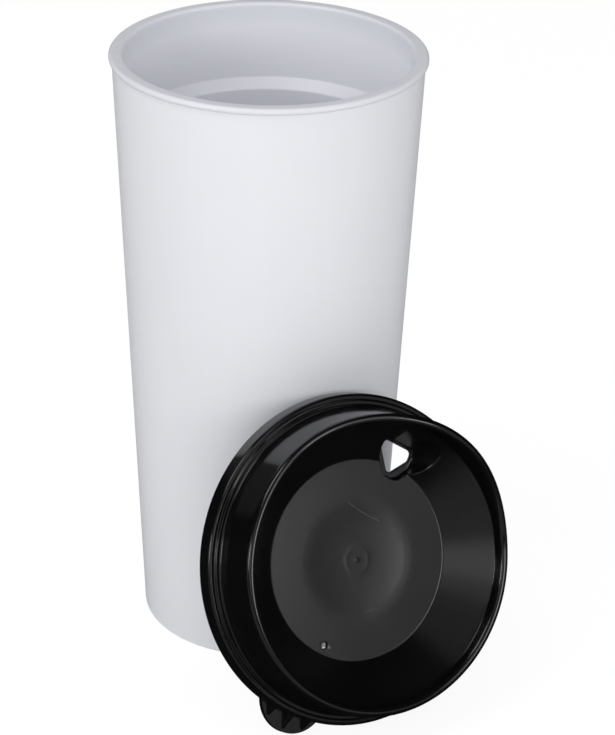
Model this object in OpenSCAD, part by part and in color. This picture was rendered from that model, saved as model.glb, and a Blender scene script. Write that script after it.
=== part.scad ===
// Travel tumbler: a double wall cup with a press-on sipping lid.
// The lid is off. It stands on its edge beside the cup and leans on the cup's side.
// Millimetres, Z up, origin at the middle of the cup's base on the table.

/* [Cup] */
// Height of the cup from the table to the top of its lip
cup_h = 177; // [140:1:220]
// Outside diameter of the cup at its base
base_d = 71.8; // [60:0.2:80]
// Outside diameter that the wall would reach at the top of the lip
mouth_d = 88.4; // [82:0.2:96]
// Thickness of the outer wall
shell_wall = 1.6; // [1.2:0.1:2.4]
// Thickness of the outer floor
shell_floor = 2.2; // [1.6:0.1:4]
// Radius of the edge round the base
base_edge = 0.8; // [0.3:0.1:2]
// Width of the ring that the cup stands on
foot_w = 4.4; // [3:0.2:8]
// Depth of the recess inside that ring
foot_recess = 1; // [0.4:0.1:1.4]

/* [Liner] */
// Thickness of the inner wall
liner_wall = 1.6; // [1.2:0.1:2.4]
// Thickness of the inner floor
liner_floor = 2; // [1.4:0.1:4]
// Gap between the liner's neck and the outer wall
neck_gap = 0.1; // [0.05:0.05:0.4]
// Depth of the neck, from the top of the lip down to the step
neck_depth = 22.5; // [14:0.5:40]
// How far the step goes in
step_w = 2.8; // [1.5:0.1:5]
// How far the step goes down
step_drop = 2.8; // [1.5:0.1:6]
// Air space between the two floors
air_gap = 9.8; // [4:0.2:20]
// Radius in the corner of the inner floor
floor_corner = 6; // [2:0.5:10]

/* [Lip] */
// Height of the lip
lip_h = 2; // [1.4:0.1:3]
// How far the lip stands out past the wall
lip_over = 0.9; // [0.5:0.1:2]
// Radius of the lip's inner edge
lip_inner_edge = 0.5; // [0.2:0.1:0.7]

/* [Lid skirt] */
// Gap between the lip and the lid's skirt
skirt_gap = 0.4; // [0.2:0.05:0.8]
// Thickness of the skirt
skirt_wall = 1.8; // [1.2:0.1:3]
// Height of the skirt
skirt_h = 5.3; // [4.4:0.1:9]
// Radius of the skirt's upper edge
skirt_edge = 0.7; // [0.3:0.1:1]
// How far the snap bead reaches under the lip
snap_bite = 0.25; // [0.1:0.05:0.5]
// Height of the snap bead
snap_h = 1.2; // [0.8:0.1:1.6]
// Width of the ledge between the skirt and the small step
ledge_w = 1.75; // [1:0.05:3]
// Height of the small step above the skirt
ridge_h = 0.6; // [0.3:0.1:1.5]
// Width of the small step
ridge_w = 1.3; // [0.8:0.05:2.2]
// How far the small step's side leans in
ridge_lean = 0.35; // [0:0.05:0.8]
// Radius in the corner where the collar starts
foot_fillet = 0.6; // [0.2:0.1:0.7]

/* [Lid top] */
// Thickness of the lid's sheet
sheet = 1.3; // [0.9:0.1:1.8]
// Height of the collar above the small step
collar_h = 11; // [7:0.5:16]
// How far the collar draws in over that height
collar_taper = 1.3; // [0.6:0.05:2.5]
// Width of the solid rim at the top of the collar
rim_w = 2.1; // [1.8:0.1:2.6]
// Radius of the round bead along the rim
bead_r = 1.3; // [1.1:0.05:1.6]
// Height of the bead's middle above the collar
bead_up = 1.75; // [1.5:0.05:3]
// How far the bead's middle stands out from the rim's middle
bead_out = 0.2; // [0:0.05:0.5]
// How far the dish's edge lies below the top of the collar
dish_edge = 0.3; // [0.2:0.1:1]
// Radius of the flat disc in the middle of the dish
disc_r = 28.7; // [20:0.1:32]
// Depth of the disc below the top of the collar
dish_depth = 10; // [6:0.5:11]
// Radius of the shallow hollow in the disc
hollow_r = 19.5; // [10:0.5:24]
// Width of the soft edge of that hollow
hollow_edge = 4; // [2:0.5:8]
// Depth of that hollow
hollow_depth = 0.45; // [0.2:0.05:1]

/* [Drinking side] */
// How far the rim rises at the drinking side
lip_rise = 7; // [0:0.5:12]
// Half of the angle over which the rim rises
rise_half_angle = 66; // [45:1:90]
// Distance of the recess's floor from the lid's axis
recess_floor_at = 31.6; // [30:0.1:33]
// Radius of the floor's round ends
recess_floor_r = 4.2; // [3.6:0.1:4.8]
// Half of the floor's width
recess_floor_w = 5.8; // [5.4:0.1:7]
// Distance of the recess's mouth from the lid's axis, at the top of the dish
recess_mouth_at = 32.8; // [31:0.1:34]
// Radius of the mouth's round ends
recess_mouth_r = 5.8; // [4.8:0.1:6.2]
// Half of the mouth's width
recess_mouth_w = 11.2; // [9:0.1:13]
// Depth of the recess's floor below the disc
recess_depth = 2; // [1:0.1:3]
// Distance of the notch in the disc from the lid's axis
notch_at = 30; // [27:0.1:32]
// Radius of the notch
notch_r = 5; // [3.5:0.1:5.5]
// Width of the drinking hole
hole_w = 10; // [6:0.2:10.4]
// Length of the drinking hole, outward
hole_l = 8.2; // [5:0.2:8.6]
// Radius of the drinking hole's corners
hole_corner = 1.3; // [0.6:0.1:1.6]
// Distance of the drinking hole's outer edge from the lid's axis
hole_out = 35.2; // [34:0.1:36.6]

/* [Vent] */
// Diameter of the vent hole
vent_d = 1.8; // [1:0.1:3]
// Distance of the vent from the lid's axis
vent_at = 25.9; // [22:0.1:27]

/* [Thumb tab] */
// Radius of the tab's round end
tab_r = 10.6; // [7:0.1:14]
// How far the tab stands out past the skirt
tab_out = 5.2; // [3:0.1:8]
// Thickness of the tab
tab_t = 1.7; // [1.2:0.1:2.4]
// Number of ribs on the tab
rib_count = 3; // [1:1:5]
// Distance from one rib to the next
rib_pitch = 6; // [3:0.1:7]
// Thickness of a rib
rib_t = 1; // [0.6:0.1:2]
// How far a rib stops short of the tab's edge
rib_short = 0.9; // [0.4:0.1:2]

/* [How the lid stands] */
// Angle of the lid's axis above level
lid_lean = 21.35; // [12:0.05:40]
// Way that the lid faces, around the cup
lid_facing = -56.65; // [-90:0.05:0]
// Turn of the drinking side, from level
lid_turn = 52.8; // [0:0.1:90]
// How far the lid stands to one side of the cup's axis
lid_side = -8.57; // [-20:0.01:20]
// Gap between the lid and the cup's wall, and under the lid
rest_gap = 0.1; // [0.05:0.05:0.4]

/* [Hidden] */
$fn = 96;
arc_steps = 6;
corner_share = 0.48;
rim_steps = 120;
bead_steps = 12;
rim_sink = 0.5;
skirt_lean = 0.1;
snap_low = 0.4;
hollow_blend = 12;
eps = 0.05;

// The cup's outer wall: its slope, and its radius at any height
wall_slope = (mouth_d - base_d) / 2 / cup_h;
function wall_r(z) = base_d / 2 + wall_slope * z;
seam_z = cup_h - lip_h;
lip_r = wall_r(seam_z) + lip_over;

// The liner hangs in the outer wall's mouth
liner_out = shell_wall + neck_gap;
liner_in = liner_out + liner_wall;
step_z = cup_h - neck_depth;
floor_z = shell_floor + foot_recess + air_gap + liner_floor;
function neck_in(z) = wall_r(z) - liner_in;
function bore_in(z) = neck_in(z) - step_w;

// The lid's radii follow from the lip, and its heights start at the skirt's edge
skirt_in = lip_r + skirt_gap;
skirt_r = skirt_in + skirt_wall;
seat_z = skirt_h - sheet;
ridge_out = skirt_r - ledge_w - ridge_lean;
ridge_z = skirt_h + ridge_h;
foot_r = ridge_out - ridge_w;
collar_z = ridge_z + collar_h;
collar_r = foot_r - collar_taper;
rim_in = collar_r - rim_w;
disc_z = collar_z - dish_depth;
dish_z = collar_z - dish_edge;
collar_slope = collar_taper / collar_h;

// The dish's cone and its lower face, one sheet thick
cone_slope = (dish_z - disc_z) / (rim_in - disc_r);
cone_len = sqrt(1 + cone_slope * cone_slope);
under_drop = sheet * cone_len;
collar_in = foot_r - sheet;
meet_r = (disc_z - under_drop - ridge_z + cone_slope * (-disc_r)
  - collar_in / collar_slope) / (-cone_slope - 1 / collar_slope);
meet_z = disc_z - under_drop + cone_slope * (meet_r - disc_r);
under_r = disc_r + (under_drop - sheet) / cone_slope;

// The bead along the rim, at an angle from the drinking side
bead_at = collar_r - rim_w / 2 + bead_out;
function rise(a) = lip_rise * (0.5 + 0.5 * cos(180 * min(1, abs(a) / rise_half_angle)));
function bead_mid_r(a) = bead_at - collar_slope * rise(a);
function bead_mid_z(a) = collar_z + bead_up + rise(a);
bead_low = acos(min(0.9, (collar_r - collar_slope * (bead_up - bead_r) - bead_at) / bead_r));

recess_z = disc_z - recess_depth;
hole_z = recess_z - sheet;
tab_at = skirt_r + tab_out - tab_r;

// Where the lid stands: as close to the cup as its back edge lets it
lid_z = (skirt_r + rest_gap) * cos(lid_lean);
lid_off = max([for (a = [0 : 0.5 : 180])
  skirt_r * sin(a) * sin(lid_lean)
  + sqrt(max(0, pow(wall_r(lid_z + skirt_r * sin(a) * cos(lid_lean)) + rest_gap, 2)
    - pow(lid_side + skirt_r * cos(a), 2)))]);
lid_x = lid_off * cos(lid_facing) - lid_side * sin(lid_facing);
lid_y = lid_off * sin(lid_facing) + lid_side * cos(lid_facing);

// Rounds the corners of an outline. Each point is [r, z, corner radius].
function unit(v) = v / norm(v);
function xy(p) = [p[0], p[1]];
function corner(p0, p1, p2) =
  let (
    a = unit(xy(p0) - xy(p1)),
    b = unit(xy(p2) - xy(p1)),
    half = acos(max(-1, min(1, a * b))) / 2,
    room = corner_share * min(norm(xy(p0) - xy(p1)), norm(xy(p2) - xy(p1))),
    r = min(p1[2], room * tan(half))
  )
  (r < 0.01 || half > 89) ? [xy(p1)] :
  let (
    c = xy(p1) + unit(a + b) * r / sin(half),
    s = xy(p1) + a * r / tan(half) - c,
    e = xy(p1) + b * r / tan(half) - c,
    turn = 180 - 2 * half,
    way = (s[0] * e[1] - s[1] * e[0]) > 0 ? 1 : -1
  )
  [for (i = [0 : arc_steps])
    let (t = way * turn * i / arc_steps)
    c + [s[0] * cos(t) - s[1] * sin(t), s[0] * sin(t) + s[1] * cos(t)]];
function rounded(pts) =
  let (n = len(pts))
  [for (i = [0 : n - 1]) each corner(pts[(i + n - 1) % n], pts[i], pts[(i + 1) % n])];

// Outer wall and floor, one moulding
module outer_shell() {
  top_r = wall_r(seam_z);
  floor_top = shell_floor + foot_recess;
  foot_in = base_d / 2 - foot_w;
  color("WhiteSmoke")
    rotate_extrude()
      polygon(rounded([
        [0, foot_recess, 0],
        [foot_in - 1, foot_recess, 0.4],
        [foot_in, 0, 0.4],
        [wall_r(0), 0, base_edge],
        [top_r, seam_z, 0.1],
        [top_r - shell_wall, seam_z, 0.1],
        [wall_r(floor_top) - shell_wall, floor_top, 3],
        [0, floor_top, 0]
      ]));
}

// Inner wall with the lip, one moulding
module inner_liner() {
  neck_low = step_z;
  step_low = step_z - step_drop;
  under_floor = floor_z - liner_floor;
  color("GhostWhite")
    rotate_extrude() {
      polygon(rounded([
        [0, under_floor, 0],
        [bore_in(under_floor) + liner_wall, under_floor, floor_corner + liner_floor],
        [bore_in(step_low) + liner_wall, step_low - 0.6, 1],
        [neck_in(neck_low) + liner_wall, neck_low - 0.6, 1],
        [neck_in(seam_z) + liner_wall, seam_z, 0],
        [lip_r - lip_h / 2, seam_z, 0],
        [lip_r - lip_h / 2, cup_h, 0],
        [neck_in(cup_h), cup_h, lip_inner_edge],
        [neck_in(neck_low), neck_low, 0.5],
        [bore_in(step_low), step_low, 0.8],
        [bore_in(floor_z), floor_z, floor_corner],
        [0, floor_z, 0]
      ]));
      translate([lip_r - lip_h / 2, seam_z + lip_h / 2])
        circle(lip_h / 2);
    }
}

// Section of the lid without the raised rim
module lid_section() {
  polygon(rounded([
    [0, disc_z - hollow_depth, 0],
    [hollow_r - hollow_edge, disc_z - hollow_depth, hollow_blend],
    [hollow_r, disc_z, hollow_blend],
    [disc_r, disc_z, 0.5],
    [rim_in, dish_z, 0.3],
    [rim_in, collar_z, 0],
    [collar_r, collar_z, 0],
    [foot_r, ridge_z, foot_fillet],
    [ridge_out, ridge_z, 0.3],
    [ridge_out + ridge_lean, skirt_h, 0.2],
    [skirt_r - skirt_lean, skirt_h, skirt_edge],
    [skirt_r, 0, 0],
    [skirt_in, 0, 0.3],
    [skirt_in, snap_low, 0],
    [lip_r - snap_bite, snap_low + snap_h / 2, 0.4],
    [skirt_in, snap_low + snap_h, 0],
    [skirt_in, seat_z, 0.3],
    [collar_in, seat_z, 0.3],
    [collar_in, ridge_z, 1],
    [meet_r, meet_z, 0.3],
    [under_r, disc_z - sheet, 0.5],
    [hollow_r, disc_z - sheet, hollow_blend],
    [hollow_r - hollow_edge, disc_z - sheet - hollow_depth, hollow_blend],
    [0, disc_z - sheet - hollow_depth, 0]
  ]));
}

// Rim bead, swept once round, rising at the drinking side
module rim_bead() {
  section_n = bead_steps + 4;
  function ring(a) =
    let (
      r = bead_mid_r(a),
      z = bead_mid_z(a),
      lean = r - bead_at
    )
    concat(
      [[rim_in + eps, collar_z - rim_sink], [collar_r - eps, collar_z - rim_sink],
        [collar_r - eps, collar_z]],
      [for (i = [0 : bead_steps - 1])
        let (t = -bead_low + (180 + bead_low) * i / (bead_steps - 1))
        [r + bead_r * cos(t), z + bead_r * sin(t)]],
      [[rim_in + eps, collar_z]]
    );
  pts = [for (k = [0 : rim_steps - 1])
    let (a = 360 * k / rim_steps, turn = a > 180 ? a - 360 : a)
    each [for (p = ring(turn)) [p[0] * cos(a), p[0] * sin(a), p[1]]]];
  tris = [for (k = [0 : rim_steps - 1], j = [0 : section_n - 1])
    let (
      k2 = (k + 1) % rim_steps,
      j2 = (j + 1) % section_n,
      a = k * section_n + j,
      b = k * section_n + j2,
      c = k2 * section_n + j2,
      d = k2 * section_n + j
    )
    each [[a, b, c], [a, c, d]]];
  polyhedron(pts, tris);
}

// Recess of the drinking hole, grown by a margin for its own wall.
// Its side leans out from the floor to a wider mouth, up to the top of the dish.
module recess(grow) {
  low = recess_z - grow;
  drop = dish_z - recess_z;
  function at(z, floor_value, mouth_value) =
    floor_value + (mouth_value - floor_value) * (z - recess_z) / drop;
  hull()
    for (z = [low, collar_z + 1], side = [-1, 1]) {
      r = at(z, recess_floor_r, recess_mouth_r) + grow;
      w = at(z, recess_floor_w, recess_mouth_w) + grow;
      translate([at(z, recess_floor_at, recess_mouth_at), side * (w - r), z])
        linear_extrude(0.01)
          circle(r, $fn = 48);
    }
  translate([notch_at, 0, low])
    cylinder(h = disc_z + 2 - low, r = notch_r + grow);
}

// Space under the dish's upper face, which the recess's wall may fill
module under_dish() {
  rotate_extrude()
    polygon([
      [0, hole_z - 1],
      [rim_in + 0.6, hole_z - 1],
      [rim_in + 0.6, dish_z - 0.3],
      [rim_in - 0.4, dish_z - 0.4 * cone_slope - 0.05],
      [disc_r - 0.2, disc_z - 0.05],
      [hollow_r + 1, disc_z - 0.05],
      [hollow_r + 1, disc_z - sheet - 1],
      [0, disc_z - sheet - 1]
    ]);
}

// Drinking hole: a triangle with its point toward the lid's axis
module drinking_hole() {
  translate([0, 0, hole_z - 1])
    linear_extrude(recess_depth + sheet + 1)
      polygon(rounded([
        [hole_out, -hole_w / 2, hole_corner],
        [hole_out, hole_w / 2, hole_corner],
        [hole_out - hole_l * 0.35, hole_w / 2, hole_corner],
        [hole_out - hole_l, 0.7, 0.7],
        [hole_out - hole_l, -0.7, 0.7],
        [hole_out - hole_l * 0.35, -hole_w / 2, hole_corner]
      ]));
}

// One rib from the skirt down to the tab
module rib(w) {
  end = tab_at + sqrt(max(0.1, tab_r * tab_r - w * w)) - rib_short;
  root = sqrt(skirt_r * skirt_r - w * w) - 0.6;
  translate([0, w + rib_t / 2, 0])
    rotate([90, 0, 0])
      linear_extrude(rib_t)
        polygon([
          [root, tab_t - 0.3],
          [end, tab_t - 0.3],
          [end, tab_t],
          [root, skirt_h - 0.4]
        ]);
}

// Half-round thumb tab on the skirt, opposite the drinking side
module thumb_tab() {
  rotate([0, 0, 180])
    difference() {
      union() {
        translate([tab_at, 0, 0])
          cylinder(h = tab_t, r = tab_r);
        for (i = [0 : rib_count - 1])
          rib((i - (rib_count - 1) / 2) * rib_pitch);
      }
      translate([0, 0, -1])
        cylinder(h = skirt_h + 2, r = skirt_r - skirt_wall / 2);
    }
}

// The whole lid, upright, with the drinking side toward +X
module lid_upright() {
  difference() {
    union() {
      rotate_extrude()
        lid_section();
      rim_bead();
      thumb_tab();
      intersection() {
        recess(sheet);
        under_dish();
      }
    }
    recess(0);
    drinking_hole();
    translate([-vent_at, 0, disc_z - sheet - 1])
      cylinder(h = sheet + 2, d = vent_d);
  }
}

// Sipping lid, one moulding, standing beside the cup
module lid() {
  color("#1c1c1e")
    translate([lid_x, lid_y, lid_z])
      rotate([0, 0, lid_facing])
        rotate([0, 90 - lid_lean, 0])
          rotate([0, 0, 90 + lid_turn])
            lid_upright();
}

outer_shell();
inner_liner();
lid();
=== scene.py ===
# %% [markdown]
# # A travel tumbler with its lid off
# This lesson dresses a tall white plastic cup and its black sipping lid. The solid model is loaded first and stays
# as it is. Each piece is then modelled again with finer edges, in the same place, and gets its own plastic.
# All sizes are in millimetres and become metres where a mesh is made.

import math

import bmesh
import bpy
from mathutils import Matrix, Vector


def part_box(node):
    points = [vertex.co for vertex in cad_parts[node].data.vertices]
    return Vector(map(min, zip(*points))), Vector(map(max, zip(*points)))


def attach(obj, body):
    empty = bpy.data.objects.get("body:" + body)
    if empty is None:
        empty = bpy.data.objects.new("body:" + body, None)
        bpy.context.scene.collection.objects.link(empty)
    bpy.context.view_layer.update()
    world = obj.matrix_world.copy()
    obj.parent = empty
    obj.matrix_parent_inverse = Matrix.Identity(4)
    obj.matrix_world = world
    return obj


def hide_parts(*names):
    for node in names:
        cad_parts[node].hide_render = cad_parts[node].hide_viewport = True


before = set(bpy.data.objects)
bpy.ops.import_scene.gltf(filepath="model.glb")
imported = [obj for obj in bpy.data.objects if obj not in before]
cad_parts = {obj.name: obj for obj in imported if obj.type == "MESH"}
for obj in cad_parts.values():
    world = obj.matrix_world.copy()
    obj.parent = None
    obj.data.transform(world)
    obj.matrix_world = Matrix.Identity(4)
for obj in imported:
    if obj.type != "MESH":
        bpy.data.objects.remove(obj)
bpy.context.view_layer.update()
MM = 0.001
for node in sorted(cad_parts):
    low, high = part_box(node)
    print(node, "spans", [round(v / MM, 1) for v in (high - low)], "mm")

# %% [markdown]
# ## The camera
# The photograph looks down at the cup from the front, from a good distance, so the cup's sides hardly converge.
# The camera could be aimed with a constraint, but three axes written out are exact and never change.

# %% Camera
CAMERA_AT = Vector((12.47, -747.29, 450.92))
LOOK_DOWN = math.radians(26.504)
ROLL = math.radians(1.096)
LENS = 138.3
SENSOR = 36.0

camera = bpy.data.objects.new("camera", bpy.data.cameras.new("camera"))
camera.data.lens = LENS
camera.data.sensor_width = SENSOR
camera.data.clip_end = 20.0
cos_roll, sin_roll = math.cos(ROLL), math.sin(ROLL)
cos_down, sin_down = math.cos(LOOK_DOWN), math.sin(LOOK_DOWN)
right = Vector((cos_roll, sin_roll * sin_down, sin_roll * cos_down))
up = Vector((-sin_roll, cos_roll * sin_down, cos_roll * cos_down))
back = Vector((0, -cos_down, sin_down))
camera.matrix_world = Matrix.Translation(CAMERA_AT * MM) @ Matrix((right, up, back)).transposed().to_4x4()
bpy.context.scene.collection.objects.link(camera)
bpy.context.scene.camera = camera
print("camera stands", round(CAMERA_AT.length), "mm from the cup's base")

# %% [markdown]
# ## Sizes that the pieces share
# The cup is one cone inside another. Writing the wall's radius as a function of height keeps the shell, the liner
# and the lid that leans on them in step.

# %% Cup sizes
CUP_H = 177.0
BASE_R = 35.9
MOUTH_R = 44.2
SHELL_WALL = 1.6
LINER_WALL = 1.6
NECK_GAP = 0.1
LIP_H = 2.0
LIP_OVER = 0.9
SEAM_Z = CUP_H - LIP_H


def wall_r(z):
    """Radius of the cup's outer face at a height."""
    return BASE_R + (MOUTH_R - BASE_R) * z / CUP_H


def neck_r(z):
    """Inner radius of the liner above the step."""
    return wall_r(z) - SHELL_WALL - NECK_GAP - LINER_WALL


LIP_R = wall_r(SEAM_Z) + LIP_OVER
LIP_EDGE = LIP_R - 0.03
print("lip is", round(2 * LIP_R, 1), "mm across, base is", round(2 * BASE_R, 1), "mm")

# %% [markdown]
# ## Turned outlines
# A cup, a liner and a lid are all round, so each starts as half of its section: a closed outline drawn beside the
# axis. The corners are rounded on the flat outline with a vertex bevel, which is easier than rounding a solid, and
# the long sides are divided, so that light and fine detail have points to work with. Spinning the outline round
# the axis then makes the whole solid.


# %% Outline helpers
def draw_flat(corners, finest=12):
    """One face in the XZ plane. Each corner is (x, height, rounding), and one part of a rounding turns by `finest`
    degrees at most."""
    bm = bmesh.new()
    verts = [bm.verts.new((x * MM, 0, z * MM)) for x, z, _ in corners]
    bm.faces.new(verts)
    for index, (vert, (_, _, rounding)) in enumerate(zip(verts, corners)):
        if not rounding:
            continue
        before = Vector(corners[index - 1][:2])
        after = Vector(corners[(index + 1) % len(corners)][:2])
        here = Vector(corners[index][:2])
        half = (before - here).angle(after - here) / 2
        segments = max(4, math.ceil((180 - math.degrees(2 * half)) / finest))
        bmesh.ops.bevel(
            bm, geom=[vert], offset=rounding * MM / math.tan(half), offset_type="OFFSET",
            segments=segments, profile=0.5, affect="VERTICES", material=-1, clamp_overlap=True,
        )
    bm.faces.ensure_lookup_table()
    return bm


def draw_outline(corners, finest=12):
    """The edge of such a face, with x as the radius, left open on the axis."""
    bm = draw_flat(corners, finest)
    bmesh.ops.delete(bm, geom=bm.faces[:], context="FACES_ONLY")
    on_axis = [e for e in bm.edges if all(abs(v.co.x) < 1e-7 for v in e.verts)]
    bmesh.ops.delete(bm, geom=on_axis, context="EDGES")
    return bm


def divide_long_edges(bm, longest, where=None):
    """Cuts each edge that is longer than `longest` mm into equal parts."""
    for edge in bm.edges[:]:
        if where and not where(edge):
            continue
        parts = math.ceil(edge.calc_length() / MM / longest)
        if parts > 1:
            bmesh.ops.subdivide_edges(bm, edges=[edge], cuts=parts - 1)


def spin_outline(bm, steps):
    """Turns the outline once round the Z axis and closes the seam and the poles."""
    bmesh.ops.spin(
        bm, geom=bm.verts[:] + bm.edges[:], cent=(0, 0, 0), axis=(0, 0, 1),
        angle=2 * math.pi, steps=steps, use_merge=True,
    )
    close_up(bm)


def close_up(bm):
    """Merges doubled points and turns every face outwards."""
    bmesh.ops.remove_doubles(bm, verts=bm.verts[:], dist=1e-6)
    bmesh.ops.recalc_face_normals(bm, faces=bm.faces[:])


SHARP = math.radians(38)


def finish_piece(bm, name, node):
    """Makes the object, shades it smooth between sharp edges, and hands it to the frame."""
    mesh = bpy.data.meshes.new(name)
    bm.to_mesh(mesh)
    bm.free()
    mesh.shade_smooth()
    mesh.set_sharp_from_angle(angle=SHARP)
    piece = bpy.data.objects.new(name, mesh)
    bpy.context.scene.collection.objects.link(piece)
    weighted = piece.modifiers.new("even shading", "WEIGHTED_NORMAL")
    weighted.keep_sharp = True
    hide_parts(node)
    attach(piece, "root")
    print(name, "has", len(mesh.vertices), "points and", len(mesh.polygons), "faces")
    return piece


# %% [markdown]
# ## The outer shell
# The white outside of the cup is one plain cone with its floor. On the real cup it is moulded, so nothing on it is
# truly sharp: the base edge has a small radius and the floor is set up inside a narrow ring that the cup stands on.

# %% Outer shell
SHELL_FLOOR = 2.2
FOOT_RECESS = 1.0
FOOT_W = 4.4
BASE_EDGE = 0.8
CUP_STEPS = 256
CUP_GRID = 6

floor_top = SHELL_FLOOR + FOOT_RECESS
foot_in = BASE_R - FOOT_W
shell_outline = [
    (0, FOOT_RECESS + 0.3, 0),
    (1.2, FOOT_RECESS + 0.3, 0.1),
    (1.5, FOOT_RECESS, 0.3),
    (foot_in - 1, FOOT_RECESS, 0.4),
    (foot_in, 0, 0.4),
    (wall_r(0), 0, BASE_EDGE),
    (wall_r(SEAM_Z), SEAM_Z, 0.15),
    (wall_r(SEAM_Z) - SHELL_WALL, SEAM_Z, 0.1),
    (wall_r(floor_top) - SHELL_WALL, floor_top, 3),
    (0, floor_top, 0),
]
bm = draw_outline(shell_outline)
divide_long_edges(bm, CUP_GRID)
spin_outline(bm, CUP_STEPS)
outer_shell = finish_piece(bm, "cup_outer_shell", "outer_shell")

# %% [markdown]
# ## The liner and its lip
# The inside of the cup is a second moulding that hangs in the shell's mouth. Its lip covers the shell's edge, and
# below the neck a small step makes room for the air that keeps a drink warm. The lip's outer edge is fully round.

# %% Inner liner
LINER_FLOOR = 2.0
AIR_GAP = 9.8
NECK_DEPTH = 22.5
STEP_W = 2.8
STEP_DROP = 2.8
FLOOR_CORNER = 6.0
LIP_INNER_EDGE = 1.0

step_z = CUP_H - NECK_DEPTH
step_low = step_z - STEP_DROP
liner_floor_z = floor_top + AIR_GAP + LINER_FLOOR
under_floor = liner_floor_z - LINER_FLOOR
liner_outline = [
    (0, under_floor, 0),
    (neck_r(under_floor) - STEP_W + LINER_WALL, under_floor, FLOOR_CORNER + LINER_FLOOR),
    (neck_r(step_low) - STEP_W + LINER_WALL, step_low - 0.6, 1),
    (neck_r(step_z) + LINER_WALL, step_z - 0.6, 1),
    (neck_r(SEAM_Z) + LINER_WALL, SEAM_Z, 0),
    (LIP_EDGE, SEAM_Z, LIP_H / 2),
    (LIP_EDGE, CUP_H, LIP_H / 2),
    (neck_r(CUP_H), CUP_H, LIP_INNER_EDGE),
    (neck_r(step_z), step_z, 0.5),
    (neck_r(step_low) - STEP_W, step_low, 0.8),
    (neck_r(liner_floor_z) - STEP_W, liner_floor_z, FLOOR_CORNER),
    (0, liner_floor_z, 0),
]
bm = draw_outline(liner_outline, finest=10)
divide_long_edges(bm, CUP_GRID)
spin_outline(bm, CUP_STEPS)
inner_liner = finish_piece(bm, "cup_inner_liner", "inner_liner")

# %% [markdown]
# ## Where the lid stands
# The lid stands on the edge of its skirt and leans back on the cup. Its place follows from how far it leans and
# which way it faces: it is moved towards the cup until the skirt's edge just meets the cone. It is modelled
# upright, with its axis up and its drinking side towards +X, and this one matrix then carries it there.

# %% Lid placement
SKIRT_WALL = 1.8
SKIRT_GAP = 0.4
SKIRT_R = LIP_R + SKIRT_GAP + SKIRT_WALL
REST_GAP = 0.1
LEAN = math.radians(21.35)
FACING = math.radians(-56.65)
TURN = math.radians(52.8)
SIDE = -8.57

lid_z = (SKIRT_R + REST_GAP) * math.cos(LEAN)


def reach(angle):
    """How far the lid's centre stands off if the skirt's back edge touches the cup at this angle."""
    height = lid_z + SKIRT_R * math.sin(angle) * math.cos(LEAN)
    across = SIDE + SKIRT_R * math.cos(angle)
    room = max(0.0, (wall_r(height) + REST_GAP) ** 2 - across ** 2)
    return SKIRT_R * math.sin(angle) * math.sin(LEAN) + math.sqrt(room)


stand_off = max(reach(math.radians(half / 2)) for half in range(361))
lid_x = stand_off * math.cos(FACING) - SIDE * math.sin(FACING)
lid_y = stand_off * math.sin(FACING) + SIDE * math.cos(FACING)
lid_turn = (
    Matrix.Rotation(FACING, 4, "Z")
    @ Matrix.Rotation(math.pi / 2 - LEAN, 4, "Y")
    @ Matrix.Rotation(math.pi / 2 + TURN, 4, "Z")
)
LID_PLACE = Matrix.Translation(Vector((lid_x, lid_y, lid_z)) * MM) @ lid_turn
print("lid stands at", [round(v, 2) for v in (lid_x, lid_y, lid_z)], "mm")

# %% [markdown]
# ## The lid's outline
# The lid is one thin moulding. From the middle outwards its section runs over the disc, up the dish, over the
# round rim, down the collar to the ledge, round the skirt with its snap bead, and back underneath. The disc is a
# shallow hollow, drawn with very large roundings so that its slope has no visible start, and in its middle is the
# mark of the gate where the plastic flowed in. The rim is drawn level here; it is lifted at the drinking side once
# the outline has been turned.

# %% Lid outline
SHEET = 1.3
SKIRT_H = 5.3
RIDGE_H = 0.6
LEDGE_W = 1.75
RIDGE_LEAN = 0.35
RIDGE_W = 1.3
COLLAR_H = 11.0
COLLAR_TAPER = 1.3
RIM_W = 2.1
BEAD_R = 1.3
BEAD_UP = 1.75
BEAD_OUT = 0.2
DISH_EDGE = 0.3
DISH_DEPTH = 10.0
DISC_R = 28.7
HOLLOW_R = 19.5
HOLLOW_EDGE = 4.0
HOLLOW_DEPTH = 0.45
GATE_RING = 0.02
GATE_DOT = 0.1
LID_GRID = 1.6

skirt_in = LIP_R + SKIRT_GAP
seat_z = SKIRT_H - SHEET
ridge_out = SKIRT_R - LEDGE_W - RIDGE_LEAN
ridge_z = SKIRT_H + RIDGE_H
foot_r = ridge_out - RIDGE_W
collar_z = ridge_z + COLLAR_H
collar_r = foot_r - COLLAR_TAPER
collar_slope = COLLAR_TAPER / COLLAR_H
rim_in = collar_r - RIM_W
disc_z = collar_z - DISH_DEPTH
dish_z = collar_z - DISH_EDGE
cone_slope = (dish_z - disc_z) / (rim_in - DISC_R)
under_drop = SHEET * math.sqrt(1 + cone_slope ** 2)
under_r = DISC_R + (under_drop - SHEET) / cone_slope
collar_in = foot_r - SHEET
meet_r = (disc_z - under_drop - ridge_z - cone_slope * DISC_R - collar_in / collar_slope) / (
    -cone_slope - 1 / collar_slope)
meet_z = disc_z - under_drop + cone_slope * (meet_r - DISC_R)
bead_at = collar_r - RIM_W / 2 + BEAD_OUT
bead_z = collar_z + BEAD_UP
bead_low = math.acos((collar_r - collar_slope * (BEAD_UP - BEAD_R) - bead_at) / BEAD_R)
bead_foot_z = bead_z - BEAD_R * math.sin(bead_low)
middle_z = disc_z - HOLLOW_DEPTH

BEAD_POINTS = 22
bead = []
for step in range(BEAD_POINTS + 1):
    turn = math.pi - (math.pi + bead_low) * step / BEAD_POINTS
    bead.append((bead_at + BEAD_R * math.cos(turn), bead_z + BEAD_R * math.sin(turn), 0))

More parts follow.
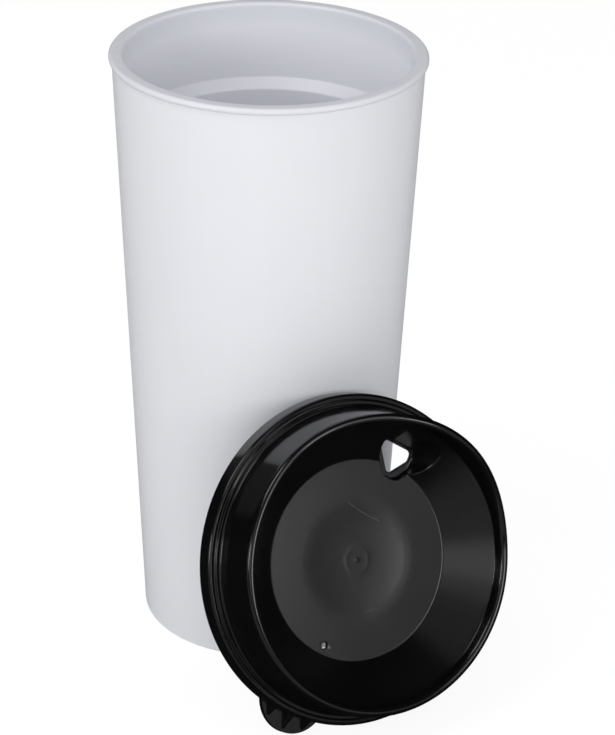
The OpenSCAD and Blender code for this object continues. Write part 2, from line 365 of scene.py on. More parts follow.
lid_outline = [
    (0, middle_z + GATE_DOT, 0),
    (0.35, middle_z + GATE_DOT, 0.1),
    (0.7, middle_z, 0.3),
    (2.7, middle_z, 8),
    (3.6, middle_z + GATE_RING, 8),
    (4.5, middle_z, 8),
    (HOLLOW_R / 2, middle_z, 150),
    (HOLLOW_R - 2.7, disc_z, 62),
    (DISC_R, disc_z, 0.8),
    (rim_in, dish_z, 0.5),
    *bead,
    (collar_r, collar_z, 0),
    (foot_r, ridge_z, 0.6),
    (ridge_out, ridge_z, 0.35),
    (ridge_out + RIDGE_LEAN, SKIRT_H, 0.35),
    (SKIRT_R - 0.1, SKIRT_H, 0.9),
    (SKIRT_R, 0, 0.25),
    (skirt_in, 0, 0.3),
    (skirt_in, 0.4, 0),
    (LIP_R - 0.25, 1.0, 0.4),
    (skirt_in, 1.6, 0),
    (skirt_in, seat_z, 0.3),
    (collar_in, seat_z, 0.3),
    (collar_in, ridge_z, 1),
    (meet_r, meet_z, 0.3),
    (under_r, disc_z - SHEET, 0.5),
    (HOLLOW_R, disc_z - SHEET, 12),
    (HOLLOW_R - HOLLOW_EDGE, middle_z - SHEET, 12),
    (0, middle_z - SHEET, 0),
]
lid_bm = draw_outline(lid_outline)
divide_long_edges(lid_bm, LID_GRID)
print("lid outline has", len(lid_bm.verts), "points, rim inside is", round(2 * rim_in, 1), "mm across")

# %% [markdown]
# ## More points where the drinking recess comes
# The recess is pushed into the dish later, so the dish needs a fine grid there and nowhere else. The outline gets
# short edges between the disc and the rim, above and below, and a rim that can stretch. The spin is done in two
# parts: many small steps across the drinking side, and longer steps for the rest of the round.

# %% Turn the lid
RECESS_GRID = 0.24
UNDER_GRID = 0.4
RIM_GRID = 0.15
FINE_HALF = math.radians(24)
FINE_STEPS = 136
ROUGH_STEPS = 120


def dish_height(r):
    """Height of the dish's upper face at a radius."""
    return disc_z + cone_slope * max(0.0, r - DISC_R)


def in_dish(edge, above):
    """True for an outline edge in the zone of the recess, on the upper or the lower face."""
    x, _, z = (edge.verts[0].co + edge.verts[1].co) / 2 / MM
    height = dish_height(x) - (0 if above else SHEET + 0.2)
    return 24 < x < rim_in - 0.4 and abs(z - height) < 0.55


def on_rim_side(edge):
    """True for the straight sides of the rim, which stretch where it rises."""
    lowest = min(v.co.z for v in edge.verts) / MM
    x = edge.verts[0].co.x / MM
    straight = edge.calc_length() / MM > 0.5
    return lowest > dish_z - 0.05 and x > rim_in - 0.2 and straight


divide_long_edges(lid_bm, RECESS_GRID, lambda edge: in_dish(edge, True))
divide_long_edges(lid_bm, UNDER_GRID, lambda edge: in_dish(edge, False))
divide_long_edges(lid_bm, RIM_GRID, on_rim_side)

bmesh.ops.rotate(lid_bm, verts=lid_bm.verts[:], cent=(0, 0, 0), matrix=Matrix.Rotation(-FINE_HALF, 3, "Z"))
fine = bmesh.ops.spin(
    lid_bm, geom=lid_bm.verts[:] + lid_bm.edges[:], cent=(0, 0, 0), axis=(0, 0, 1),
    angle=2 * FINE_HALF, steps=FINE_STEPS, use_merge=False,
)
bmesh.ops.spin(
    lid_bm, geom=fine["geom_last"], cent=(0, 0, 0), axis=(0, 0, 1),
    angle=2 * math.pi - 2 * FINE_HALF, steps=ROUGH_STEPS, use_merge=False,
)
close_up(lid_bm)
print("turned lid has", len(lid_bm.verts), "points, open edges:", sum(e.is_boundary for e in lid_bm.edges))

# %% [markdown]
# ## The raised rim
# The rim rises in a smooth wave to the place where the drinker's lip goes. Each point above the collar moves up by
# the wave and a little inwards, so the collar's slope carries on. Points on the rim's straight sides move in
# proportion, which stretches the sides and keeps the bead round.

# %% Raise the rim
LIP_RISE = 7.0
RISE_HALF = math.radians(66)


def rise_at(angle):
    """How far the rim rises at an angle from the drinking side."""
    return LIP_RISE * (0.5 + 0.5 * math.cos(math.pi * min(1.0, abs(angle) / RISE_HALF)))


for vert in lid_bm.verts:
    x, y, z = vert.co / MM
    radius = math.hypot(x, y)
    if z <= collar_z + 0.001 or radius < rim_in - 0.3:
        continue
    side_top = bead_z if radius < bead_at else bead_foot_z
    share = min(1.0, (z - collar_z) / (side_top - collar_z))
    lift = share * rise_at(math.atan2(y, x))
    shrink = 1 - collar_slope * lift / radius
    vert.co = Vector((x * shrink, y * shrink, z + lift)) * MM
print("rim tops out at", round(max(v.co.z for v in lid_bm.verts) / MM, 2), "mm")

# %% [markdown]
# ## The drinking recess
# A drink reaches the lip through a pocket in the side of the dish. Its outline is a stadium that widens upwards,
# and a round notch takes its floor a little way into the disc. Every point of the dish's upper face is lowered to
# that pocket, and the lower face is lowered to the same shape one sheet bigger, so the wall keeps its thickness.
# Blending the heights instead of cutting rounds the edges the way a mould does.

# %% Press in the recess
RECESS_DEPTH = 2.0
FLOOR_AT, FLOOR_R, FLOOR_W = 31.6, 4.2, 5.8
MOUTH_AT, MOUTH_R2, MOUTH_W = 32.8, 5.8, 11.2
NOTCH_AT, NOTCH_R, NOTCH_DRAFT = 30.0, 5.0, 0.4
EDGE_BLEND, NOTCH_BLEND, FLOOR_BLEND = 0.45, 0.5, 0.7
recess_z = disc_z - RECESS_DEPTH
hole_z = recess_z - SHEET


def stadium_distance(x, y, z, grow):
    """Distance outside the recess's outline at one height; negative inside it."""
    share = (z - recess_z) / (dish_z - recess_z)
    at = FLOOR_AT + (MOUTH_AT - FLOOR_AT) * share
    r = FLOOR_R + (MOUTH_R2 - FLOOR_R) * share
    w = FLOOR_W + (MOUTH_W - FLOOR_W) * share
    return math.hypot(x - at, max(0.0, abs(y) - (w - r))) - r - grow


def wall_height(x, y, grow):
    """Height at which a plumb line through (x, y) meets the recess's leaning wall."""
    low, high = recess_z - 4, collar_z + 3
    if stadium_distance(x, y, high, grow) > 0:
        return high
    if stadium_distance(x, y, low, grow) < 0:
        return low
    for _ in range(22):
        middle = (low + high) / 2
        if stadium_distance(x, y, middle, grow) > 0:
            low = middle
        else:
            high = middle
    return high


def soft_min(a, b, blend):
    """The smaller of two heights, with a round change from one to the other."""
    near = max(0.0, 1 - abs(a - b) / blend)
    return min(a, b) - near * near * blend / 4


def recess_height(x, y, grow, floor):
    """Height of the pocket's surface."""
    notch = math.hypot(x - NOTCH_AT, y) - NOTCH_R + NOTCH_DRAFT - grow
    wall = soft_min(wall_height(x, y, grow), recess_z + notch * RECESS_DEPTH / NOTCH_DRAFT, NOTCH_BLEND)
    return -soft_min(-wall, -floor, FLOOR_BLEND)


lowered = 0
for vert in lid_bm.verts:
    x, y, z = vert.co / MM
    radius = math.hypot(x, y)
    if not (24 < radius < rim_in - 0.2) or abs(math.atan2(y, x)) > FINE_HALF or z > dish_z:
        continue
    top = abs(z - dish_height(radius)) < 0.45
    pocket = recess_height(x, y, 0, recess_z) if top else recess_height(x, y, SHEET, hole_z)
    new_z = soft_min(z, pocket, EDGE_BLEND)
    if z - new_z > 1e-4:
        vert.co.z = new_z * MM
        lowered += 1
lid_bm.normal_update()
print("recess lowers", lowered, "points")

# %% [markdown]
# ## Cutting and joining
# The hole, the vent and the tab don't follow the turned grid, so they are cut or joined with a boolean. The exact
# solver keeps the result closed. Each cutting tool is itself a closed solid whose ends flare out, which leaves a
# rounded edge in the moulding instead of a knife edge.


# %% Boolean helpers
def combine(main, tool, operation):
    """Joins two closed meshes, or cuts one with the other, and returns the new mesh."""
    parts = []
    for bm in (main, tool):
        mesh = bpy.data.meshes.new("work")
        bm.to_mesh(mesh)
        bm.free()
        part = bpy.data.objects.new("work", mesh)
        bpy.context.scene.collection.objects.link(part)
        parts.append(part)
    boolean = parts[0].modifiers.new("boolean", "BOOLEAN")
    boolean.operation = operation
    boolean.object = parts[1]
    boolean.solver = "EXACT"
    result = bmesh.new()
    result.from_object(parts[0], bpy.context.evaluated_depsgraph_get())
    for part in parts:
        mesh = part.data
        bpy.data.objects.remove(part)
        bpy.data.meshes.remove(mesh)
    close_up(result)
    return result


def outline_points(corners):
    """Points round a flat outline with rounded corners, as (x, y) in mm."""
    bm = draw_flat(corners)
    points = [(loop.vert.co.x / MM, loop.vert.co.z / MM) for loop in bm.faces[0].loops]
    bm.free()
    return points


def flared_cutter(points, low, high, flare):
    """A plug through a sheet from `low` to `high`, wider by `flare` at both faces."""
    count = len(points)
    centre = sum((Vector(p) for p in points), Vector((0, 0))) / count
    outward = []
    for index in range(count):
        along = Vector(points[(index + 1) % count]) - Vector(points[index - 1])
        normal = Vector((along.y, -along.x)).normalized()
        if normal.dot(Vector(points[index]) - centre) < 0:
            normal.negate()
        outward.append(normal)
    quarter = [math.radians(angle) for angle in (90, 67.5, 45, 22.5, 0)]
    levels = [(low - 1, flare)]
    levels += [(low + flare * (1 - math.sin(a)), flare * (1 - math.cos(a))) for a in quarter]
    levels += [(high - flare * (1 - math.sin(a)), flare * (1 - math.cos(a))) for a in reversed(quarter)]
    levels += [(high + 1, flare)]
    bm = bmesh.new()
    rings = []
    for z, grow in levels:
        ring = [bm.verts.new(((x + n.x * grow) * MM, (y + n.y * grow) * MM, z * MM))
                for (x, y), n in zip(points, outward)]
        rings.append([bm.edges.new((ring[i - 1], ring[i])) for i in range(count)])
    for lower, upper in zip(rings, rings[1:]):
        bmesh.ops.bridge_loops(bm, edges=lower + upper)
    bmesh.ops.holes_fill(bm, edges=rings[0] + rings[-1], sides=0)
    close_up(bm)
    return bm


# %% [markdown]
# ## The drinking hole and the vent
# The hole is a rounded triangle in the floor of the recess, with its point towards the middle, and the vent is a
# small round hole on the far side that lets air in.

# %% Cut the hole and the vent
HOLE_W = 10.0
HOLE_L = 8.2
HOLE_OUT = 35.2
HOLE_CORNER = 1.3
HOLE_FLARE = 0.3
VENT_R = 0.9
VENT_AT = 25.9
VENT_FLARE = 0.35
VENT_SIDES = 32
hole_outline = [
    (HOLE_OUT, -HOLE_W / 2, HOLE_CORNER),
    (HOLE_OUT, HOLE_W / 2, HOLE_CORNER),
    (HOLE_OUT - HOLE_L * 0.35, HOLE_W / 2, HOLE_CORNER),
    (HOLE_OUT - HOLE_L, 0.7, 0.7),
    (HOLE_OUT - HOLE_L, -0.7, 0.7),
    (HOLE_OUT - HOLE_L * 0.35, -HOLE_W / 2, HOLE_CORNER),
]
plug = flared_cutter(outline_points(hole_outline), hole_z, recess_z, HOLE_FLARE)
lid_bm = combine(lid_bm, plug, "DIFFERENCE")
turns = [math.tau * i / VENT_SIDES for i in range(VENT_SIDES)]
round_points = [(VENT_R * math.cos(turn) - VENT_AT, VENT_R * math.sin(turn)) for turn in turns]
plug = flared_cutter(round_points, disc_z - SHEET, disc_z, VENT_FLARE)
lid_bm = combine(lid_bm, plug, "DIFFERENCE")
print("open edges after cutting:", sum(not e.is_manifold for e in lid_bm.edges))

# %% [markdown]
# ## The thumb tab
# A half-round tab at the skirt's edge, opposite the drinking side, lets a thumb push the lid off. Three ribs brace
# it. The tab's inner edge follows the skirt half-way into its wall, so nothing sticks out inside.

# %% Tab and ribs
TAB_R = 10.6
TAB_OUT = 5.2
TAB_T = 1.7
RIB_PITCH = 6.0
RIB_T = 1.0
RIB_SHORT = 0.9
TAB_EDGE = 0.45
RIB_EDGE = 0.22
tab_at = SKIRT_R + TAB_OUT - TAB_R
root_r = SKIRT_R - SKIRT_WALL / 2
cross_x = (root_r ** 2 - TAB_R ** 2 + tab_at ** 2) / (2 * tab_at)
cross_y = math.sqrt(root_r ** 2 - cross_x ** 2)


def arc(cx, r, start, end, steps):
    """Points on an arc about (cx, 0)."""
    return [(cx + r * math.cos(start + (end - start) * i / steps), r * math.sin(start + (end - start) * i / steps))
            for i in range(steps + 1)]


half_tab = math.atan2(cross_y, cross_x - tab_at)
half_root = math.atan2(cross_y, cross_x)
tab_edge = arc(tab_at, TAB_R, -half_tab, half_tab, 72) + arc(0, root_r, half_root, -half_root, 16)[1:-1]


def extrude_flat(bm, face, offset):
    """Pulls a flat face into a solid."""
    grown = bmesh.ops.extrude_face_region(bm, geom=[face])
    moved = [v for v in grown["geom"] if isinstance(v, bmesh.types.BMVert)]
    bmesh.ops.translate(bm, verts=moved, vec=offset)
    bmesh.ops.recalc_face_normals(bm, faces=bm.faces[:])


def round_edges(bm, edges, radius, segments=4):
    """Rounds the given edges."""
    bmesh.ops.bevel(
        bm, geom=edges, offset=radius * MM, offset_type="OFFSET", segments=segments,
        profile=0.5, affect="EDGES", material=-1, clamp_overlap=True,
    )


tab = bmesh.new()
tab_face = tab.faces.new([tab.verts.new((-x * MM, y * MM, 0)) for x, y in tab_edge])
extrude_flat(tab, tab_face, Vector((0, 0, TAB_T * MM)))
flat_edges = [e for e in tab.edges if abs(e.verts[0].co.z - e.verts[1].co.z) < 1e-7
              and all(v.co.xy.length / MM > root_r + 0.01 for v in e.verts)]
round_edges(tab, flat_edges, TAB_EDGE)
lid_bm = combine(lid_bm, tab, "UNION")

for index in (-1, 0, 1):
    off = index * RIB_PITCH
    end = tab_at + math.sqrt(TAB_R ** 2 - off ** 2) - RIB_SHORT
    root = math.sqrt(SKIRT_R ** 2 - off ** 2) - 0.6
    side = [(root, TAB_T - 0.3), (end, TAB_T - 0.3), (end, TAB_T), (root, SKIRT_H - 0.4)]
    rib = bmesh.new()
    rib_face = rib.faces.new([rib.verts.new((-x * MM, (off - RIB_T / 2) * MM, z * MM)) for x, z in side])
    extrude_flat(rib, rib_face, Vector((0, RIB_T * MM, 0)))
    round_edges(rib, rib.edges[:], RIB_EDGE, segments=3)
    lid_bm = combine(lid_bm, rib, "UNION")
print("open edges after joining:", sum(not e.is_manifold for e in lid_bm.edges))

# %% [markdown]
# ## The lid in its place
# The finished mesh is carried to the cup in one move, so the object itself stays at the origin.

# %% Place the lid
bmesh.ops.transform(lid_bm, matrix=LID_PLACE, verts=lid_bm.verts[:])
lid_bm.normal_update()
lid = finish_piece(lid_bm, "sipping_lid", "lid")

# %% [markdown]
# ## Plastic that looks like plastic
# A flat colour looks like a drawing. Real moulded plastic has a fine skin from the mould, slow waves where it cooled,
# faint marks from handling, and a gloss that changes a little from place to place. Each look below is made from
# noise in the object's own coordinates, so it stays put and needs no pictures. One trap: the denoiser treats gloss
# that is smoother or rougher than about 0.27 differently, so a finish that wanders across that value shows patches
# with hard edges. Each finish below stays on one side of it.


# %% Node helpers
def start_look(name):
    """A new material with an empty node tree."""
    look = bpy.data.materials.new(name)
    look.use_nodes = True
    look.node_tree.nodes.clear()
    return look, look.node_tree


def add(tree, kind, inputs=None, **settings):
    """Adds a shader node. An input is set to a value, or linked when another node's output is given."""
    node = tree.nodes.new(kind)
    for name, value in settings.items():
        setattr(node, name, value)
    for key, value in (inputs or {}).items():
        if isinstance(value, bpy.types.NodeSocket):
            tree.links.new(value, node.inputs[key])
        else:
            node.inputs[key].default_value = value
    return node


def noise(tree, where, scale, detail=2.0, rough=0.5):
    """Noise value between 0 and 1; `scale` counts waves per metre."""
    return add(tree, "ShaderNodeTexNoise", {
        "Vector": where, "Scale": scale, "Detail": detail, "Roughness": rough}).outputs["Fac"]


def stretch(tree, where, x, y, z):
    """Coordinates multiplied along each axis, for streaks."""
    return add(tree, "ShaderNodeMapping", {"Vector": where, "Scale": (x, y, z)}).outputs["Vector"]


def spread(tree, value, low, high, to_low, to_high):
    """Maps a range to another, cut off at both ends."""
    return add(tree, "ShaderNodeMapRange", {
        "Value": value, "From Min": low, "From Max": high, "To Min": to_low, "To Max": to_high}).outputs["Result"]


def blend(tree, share, first, second):
    """Mixes two colours."""
    return add(tree, "ShaderNodeMix", {"Factor": share, "A": first, "B": second},
               data_type="RGBA").outputs["Result"]


def blend_values(tree, share, first, second):
    """Mixes two plain numbers."""
    return add(tree, "ShaderNodeMix", {"Factor": share, "A": first, "B": second},
               data_type="FLOAT").outputs["Result"]


def raise_by(tree, height, depth_mm, under=None):
    """Bump from a height between 0 and 1, so many mm deep; `under` is a coarser bump below it."""
    inputs = {"Height": height, "Distance": depth_mm * MM, "Strength": 1.0}
    if under is not None:
        inputs["Normal"] = under
    return add(tree, "ShaderNodeBump", inputs).outputs["Normal"]


# %% [markdown]
# ## Satin white for the shell
# The outside of the cup is white polypropylene from a lightly blasted mould. Three layers make its surface: a fine
# grain, slow vertical flow lines, and a few long faint scuffs from hands and shelves. Only the gloss and the bump
# change much; the colour stays nearly even. A little light also travels under the surface.

# %% Shell look
look, tree = start_look("shell_satin_white")
where = add(tree, "ShaderNodeTexCoord").outputs["Object"]
grain = noise(tree, where, 2600, 3.0, 0.6)
flow = noise(tree, stretch(tree, where, 210, 210, 7), 1.0, 3.0, 0.55)
cloud = noise(tree, where, 22, 2.0)
scuff_lines = noise(tree, stretch(tree, where, 900, 900, 55), 1.0, 5.0, 0.7)
scuff_zones = noise(tree, where, 34, 1.0)
scuffs = add(tree, "ShaderNodeMath", {
    0: spread(tree, scuff_lines, 0.62, 0.72, 0.0, 1.0),
    1: spread(tree, scuff_zones, 0.55, 0.7, 0.0, 1.0)}, operation="MULTIPLY").outputs[0]
tint = blend(tree, spread(tree, cloud, 0.3, 0.7, 0.0, 1.0), (0.795, 0.802, 0.835, 1), (0.812, 0.818, 0.847, 1))
tint = blend(tree, spread(tree, flow, 0.35, 0.75, 0.0, 0.35), tint, (0.785, 0.792, 0.822, 1))
gloss = spread(tree, flow, 0.3, 0.7, 0.36, 0.44)
gloss = blend_values(tree, scuffs, gloss, 0.58)
slow = raise_by(tree, flow, 0.02)
fine = raise_by(tree, grain, 0.006, slow)
skin = add(tree, "ShaderNodeBsdfPrincipled", {
    "Base Color": tint, "Roughness": gloss, "Normal": fine, "IOR": 1.49,
    "Subsurface Weight": 0.12, "Subsurface Radius": (1.0, 0.95, 0.9), "Subsurface Scale": 0.0015})
add(tree, "ShaderNodeOutputMaterial", {"Surface": skin.outputs[0]})
outer_shell.data.materials.append(look)

# %% [markdown]
# ## Smooth white for the liner
# The liner comes from a smoother mould. It is glossier than the shell and a touch bluer. Fine rings from turning
# the mould's core run round the wall, and spoons and straws leave faint marks that only change the gloss. The
# inside is painted lighter than the lip: a few mm below the lip the colour turns paler, to stand in for light
# that comes through the white walls.

# %% Liner look
# The inside colour is painted lighter than the lip's, standing in for light that comes through the walls.
LIP_TINT = (0.735, 0.744, 0.785, 1)
INSIDE_PAINTED_LIGHTER = (0.85, 0.855, 0.9, 1)
look, tree = start_look("liner_smooth_white")
where = add(tree, "ShaderNodeTexCoord").outputs["Object"]
rings = noise(tree, stretch(tree, where, 12, 12, 620), 1.0, 2.0, 0.6)
cloud = noise(tree, where, 30, 2.0)
grain = noise(tree, where, 1900, 2.0)
marks = noise(tree, where, 240, 4.0, 0.6)
depth = add(tree, "ShaderNodeSeparateXYZ", {"Vector": where}).outputs["Z"]
# Painted light: below the lip the colour turns paler, in place of light that comes through the walls.
tint = blend(tree, spread(tree, depth, 170 * MM, SEAM_Z * MM, 1.0, 0.0), LIP_TINT, INSIDE_PAINTED_LIGHTER)
paler = blend(tree, 0.5, tint, (0.80, 0.808, 0.86, 1))
tint = blend(tree, spread(tree, cloud, 0.3, 0.7, 0.0, 0.5), tint, paler)
gloss = spread(tree, cloud, 0.3, 0.7, 0.3, 0.35)
gloss = blend_values(tree, spread(tree, marks, 0.35, 0.85, 0.0, 0.5), gloss, 0.42)
slow = raise_by(tree, rings, 0.004)
fine = raise_by(tree, grain, 0.003, slow)
skin = add(tree, "ShaderNodeBsdfPrincipled", {
    "Base Color": tint, "Roughness": gloss, "Normal": fine, "IOR": 1.49,
    "Subsurface Weight": 0.12, "Subsurface Radius": (0.95, 0.97, 1.0), "Subsurface Scale": 0.0015})
add(tree, "ShaderNodeOutputMaterial", {"Surface": skin.outputs[0]})
inner_liner.data.materials.append(look)

# %% [markdown]
# ## Polished black with a satin disc for the lid
# The lid's mould is polished, except for the disc in the middle, which is left satin. A Mapping node set to the lid's
# own place turns the coordinates back, so that the disc, its two scratches and the wipe marks can be described as
# if the lid lay flat with its middle at zero. The scratches are pieces of thin rings: a ring is easy to ask for,
# since it is every point at one distance from its middle. The dish is a little duller than the collar, so what it
# mirrors has soft edges.

# %% Lid look
SATIN_FROM, SATIN_TO = 28.2, 28.4
look, tree = start_look("lid_polished_black")
where = add(tree, "ShaderNodeTexCoord").outputs["Object"]
flat = add(tree, "ShaderNodeMapping", {
    "Vector": where, "Location": LID_PLACE.to_translation(), "Rotation": LID_PLACE.to_euler()},
    vector_type="TEXTURE").outputs["Vector"]
split = add(tree, "ShaderNodeSeparateXYZ", {"Vector": flat})
plan = add(tree, "ShaderNodeCombineXYZ", {"X": split.outputs["X"], "Y": split.outputs["Y"]}).outputs["Vector"]
from_middle = add(tree, "ShaderNodeVectorMath", {0: plan}, operation="LENGTH").outputs["Value"]
on_disc = spread(tree, from_middle, SATIN_FROM * MM, SATIN_TO * MM, 1.0, 0.0)
above = spread(tree, split.outputs["Z"], (disc_z - 0.75) * MM, (disc_z - 0.6) * MM, 0.0, 1.0)
satin = add(tree, "ShaderNodeMath", {0: on_disc, 1: above}, operation="MULTIPLY").outputs[0]


def ring_scratch(middle, points_mm, width_mm):
    """A thin scratch through two points, bent round a far middle; 1 on the scratch, 0 off it."""
    start, end = (Vector((x, y, 0)) for x, y in points_mm)
    centre = Vector((*middle, 0))
    radius = (start - centre).length
    wobble = add(tree, "ShaderNodeVectorMath", {
        0: noise(tree, plan, 700, 3.0), 1: (0.5, 0.5, 0.5)}, operation="SUBTRACT").outputs["Vector"]
    moved = add(tree, "ShaderNodeVectorMath", {
        0: wobble, 1: (0.0006, 0.0006, 0.0), 2: plan}, operation="MULTIPLY_ADD").outputs["Vector"]
    away = add(tree, "ShaderNodeVectorMath", {0: moved, 1: centre * MM}, operation="DISTANCE").outputs["Value"]
    off = add(tree, "ShaderNodeMath", {0: away, 1: radius * MM}, operation="SUBTRACT").outputs[0]
    off = add(tree, "ShaderNodeMath", {0: off}, operation="ABSOLUTE").outputs[0]
    line = spread(tree, off, 0.0, width_mm * MM, 1.0, 0.0)
    half = (end - start).length / 2
    reach_mm = add(tree, "ShaderNodeVectorMath", {
        0: plan, 1: (start + end) / 2 * MM}, operation="DISTANCE").outputs["Value"]
    length = spread(tree, reach_mm, (half - 2.5) * MM, half * MM, 1.0, 0.0)
    return add(tree, "ShaderNodeMath", {0: line, 1: length}, operation="MULTIPLY").outputs[0]


def flat_point(level, upward):
    """A point given by its level and upward distances on the leaning disc, in the lid's own directions."""
    return (level * math.cos(TURN) + upward * math.sin(TURN), upward * math.cos(TURN) - level * math.sin(TURN))


first = ring_scratch(flat_point(34, 46), (flat_point(-0.4, 17.8), flat_point(10.5, 8.4)), 0.12)
second = ring_scratch(flat_point(0.9, 6.0), (flat_point(-1.7, -15.0), flat_point(5.1, -15.4)), 0.1)
scratches = add(tree, "ShaderNodeMath", {0: first, 1: second}, operation="MAXIMUM").outputs[0]
satin_grain = noise(tree, flat, 3200, 2.0, 0.6)
gloss_grain = noise(tree, flat, 900, 2.0)
wipes = noise(tree, stretch(tree, flat, 60, 420, 60), 1.0, 4.0, 0.65)
cloud = noise(tree, flat, 55, 3.0)
dust = spread(tree, noise(tree, flat, 2100, 2.0), 0.74, 0.8, 0.0, 1.0)

tint = blend(tree, satin, (0.0025, 0.0025, 0.003, 1), (0.005, 0.0048, 0.0044, 1))
tint = blend(tree, spread(tree, cloud, 0.35, 0.75, 0.0, 0.4), tint, (0.005, 0.005, 0.005, 1))
tint = blend(tree, spread(tree, dust, 0.0, 1.0, 0.0, 0.35), tint, (0.09, 0.09, 0.09, 1))
tint = blend(tree, scratches, tint, (0.12, 0.12, 0.12, 1))
polished = spread(tree, wipes, 0.3, 0.75, 0.1, 0.17)
dulled = spread(tree, from_middle, (rim_in - 1) * MM, rim_in * MM, 0.21, 0.0)
polished = add(tree, "ShaderNodeMath", {0: polished, 1: dulled}, operation="MAXIMUM").outputs[0]
sanded = spread(tree, cloud, 0.3, 0.7, 0.2, 0.25)
gloss = blend_values(tree, satin, polished, sanded)
gloss = blend_values(tree, scratches, gloss, 0.55)
waves = raise_by(tree, cloud, 0.03)
faint_grain = spread(tree, gloss_grain, 0.0, 1.0, 0.45, 0.55)
fine = raise_by(tree, blend_values(tree, satin, faint_grain, satin_grain), 0.01, waves)
cut = raise_by(tree, spread(tree, scratches, 0.0, 1.0, 1.0, 0.0), 0.03, fine)
skin = add(tree, "ShaderNodeBsdfPrincipled", {
    "Base Color": tint, "Roughness": gloss, "Normal": cut, "IOR": 1.49})
add(tree, "ShaderNodeOutputMaterial", {"Surface": skin.outputs[0]})
lid.data.materials.append(look)

# %% [markdown]
# ## The floor and the background
# The photograph has a plain white background. The floor is matt white and receives real light, but the camera sees
# it mixed with its own white glow, so it comes out white and keeps only a soft shadow under the cup. For light that
# bounces, the same floor is an ordinary pale table. Black polish mirrors what lies in front of it, and the real lid
# mirrored a dark table with a dim card at the front. Here mirrored rays meet a painted reflection instead of the
# floor: a faint glow for the dark table and a brighter glowing strip at the front for the card, neither of them lit.

# %% Floor
FLOOR_GLOW = 0.86
GLOW = 1.06
PAPER = 0.88
# Painted reflection: brightness of the glowing strip at the front and of the near-black glow elsewhere, seen only by
# mirrored rays.
MIRRORED_STRIP_GLOW = 0.36
MIRRORED_DARK_GLOW = 0.01
STRIP_GLOW_FROM, STRIP_GLOW_TO = -0.19, -0.13
FLOOR_HALF = 4
floor_bm = bmesh.new()
bmesh.ops.create_grid(floor_bm, x_segments=1, y_segments=1, size=FLOOR_HALF)
floor_mesh = bpy.data.meshes.new("floor")
floor_bm.to_mesh(floor_mesh)
floor_bm.free()
floor = bpy.data.objects.new("floor", floor_mesh)
bpy.context.scene.collection.objects.link(floor)

floor_look = bpy.data.materials.new("floor")
floor_look.use_nodes = True
tree = floor_look.node_tree
tree.nodes.clear()
light_path = add(tree, "ShaderNodeLightPath")
paper = add(tree, "ShaderNodeBsdfDiffuse", {"Color": (PAPER, PAPER, PAPER, 1)})
glow = add(tree, "ShaderNodeEmission", {"Color": (1, 1, 1, 1), "Strength": GLOW})
share = add(tree, "ShaderNodeMath", {0: light_path.outputs["Is Camera Ray"], 1: FLOOR_GLOW}, operation="MULTIPLY")
both = add(tree, "ShaderNodeMixShader", {0: share.outputs[0], 1: paper.outputs[0], 2: glow.outputs[0]})
spot = add(tree, "ShaderNodeSeparateXYZ", {"Vector": add(tree, "ShaderNodeTexCoord").outputs["Object"]})
# Painted reflection: for mirrored rays the floor glows as a strip at the front and nearly black behind, instead of
# showing its lit paper.
painted_reflection = add(tree, "ShaderNodeEmission", {
    "Color": (1, 1, 1, 1), "Strength": spread(tree, spot.outputs["Y"], STRIP_GLOW_FROM, STRIP_GLOW_TO, MIRRORED_STRIP_GLOW, MIRRORED_DARK_GLOW)})
final = add(tree, "ShaderNodeMixShader",
            {0: light_path.outputs["Is Glossy Ray"], 1: both.outputs[0], 2: painted_reflection.outputs[0]})
add(tree, "ShaderNodeOutputMaterial", {"Surface": final.outputs[0]})
floor.data.materials.append(floor_look)

# %% [markdown]
# ## The room's light
# The world is white to the camera and gives everything else an even, soft light from all round. Mirrored rays see
# a nearly black room instead, which keeps the polished lid black. A grey room would have to choose between a dull
# lid and a dark cup.

# %% World
ROOM = 0.5
DARK_ROOM = 0.005
world = bpy.data.worlds.new("room")
bpy.context.scene.world = world
world.use_nodes = True
tree = world.node_tree
tree.nodes.clear()
light_path = add(tree, "ShaderNodeLightPath")
room = add(tree, "ShaderNodeBackground", {"Color": (0.97, 0.98, 1.0, 1), "Strength": ROOM})
black = add(tree, "ShaderNodeBackground", {"Color": (1, 1, 1, 1), "Strength": DARK_ROOM})
white = add(tree, "ShaderNodeBackground", {"Color": (1, 1, 1, 1), "Strength": 1.0})
inside = add(tree, "ShaderNodeMixShader",
             {0: light_path.outputs["Is Glossy Ray"], 1: room.outputs[0], 2: black.outputs[0]})
outside = add(tree, "ShaderNodeMixShader",
              {0: light_path.outputs["Is Camera Ray"], 1: inside.outputs[0], 2: white.outputs[0]})
add(tree, "ShaderNodeOutputWorld", {"Surface": outside.outputs[0]})

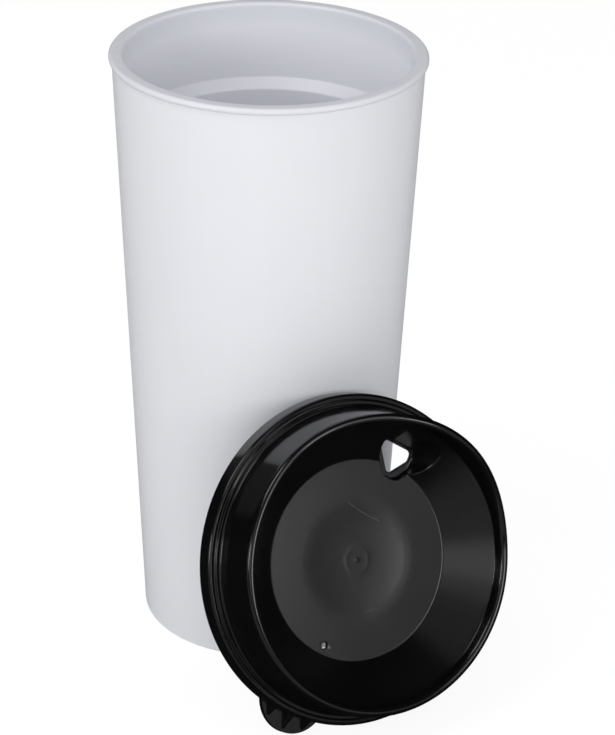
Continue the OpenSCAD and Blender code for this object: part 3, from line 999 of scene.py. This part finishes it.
# %% [markdown]
# ## The lamps
# Products like this are lit in a tent of soft panels. Each panel here is a square lamp on a big ball round the
# object. Its five numbers are its elevation, its azimuth, how wide and how high it looks from the object, all in
# degrees, and its brightness. A small strong panel on the left is the key: it shades the cup's wall and draws the
# bright lines on the lid's edges. One high on the left lights the inside. The panels at the front are mirrored by the
# lid: a soft wide band on the dish, and beside what the satin disc mirrors, one whose edge gives the hollow its
# change from dark to light.

# %% Lamps
TENT = 1300.0
TENT_MIDDLE = Vector((10, -20, 90))
PANELS = (
    (19, -131, 13, 13, 8.2), (60, -150, 30, 24, 2.9), (8, -158, 30, 18, 0.7),
    (11, -41, 14, 14, 6.2), (14, -56, 16, 20, 1.5), (34, -45, 20, 26, 1.3), (10, -23, 22, 24, 0.4),
    (22, -97, 34, 52, 0.3), (22, -98, 28, 34, 0.36), (19, -101, 20, 18, 0.6), (60, -90, 30, 24, 0.24),
    (20, 140, 40, 24, 0.09),
)


def softbox(name, place, target, size, power):
    """A rectangular area lamp at `place`, aimed at `target`, all in mm."""
    lamp = bpy.data.lights.new(name, "AREA")
    lamp.shape = "RECTANGLE"
    lamp.size, lamp.size_y = size[0] * MM, size[1] * MM
    lamp.energy = power
    holder = bpy.data.objects.new(name, lamp)
    aim = (target - place).to_track_quat("-Z", "Y")
    holder.matrix_world = Matrix.Translation(place * MM) @ aim.to_matrix().to_4x4()
    holder.visible_camera = False
    bpy.context.scene.collection.objects.link(holder)


def panel(elevation, azimuth, width, height, brightness):
    """One panel of the light tent, seen from the object in this direction; angles in degrees."""
    up_angle, side_angle = math.radians(elevation), math.radians(azimuth)
    level = TENT * math.cos(up_angle)
    seen_from = Vector((level * math.cos(side_angle), level * math.sin(side_angle), TENT * math.sin(up_angle)))
    size = [2 * TENT * math.tan(math.radians(angle) / 2) for angle in (width, height)]
    power = brightness * math.pi * size[0] * size[1] * MM * MM
    softbox(f"panel_{elevation}_{azimuth}", TENT_MIDDLE + seen_from, TENT_MIDDLE, size, power)


for settings in PANELS:
    panel(*settings)
print(len(PANELS), "panels; the key's brightness is", PANELS[0][-1], "and the dimmest panel's", PANELS[-1][-1])

# %% [markdown]
# ## Last steps
# The picture uses plain display colours.

# %% Finish
bpy.context.scene.view_settings.view_transform = "Standard"
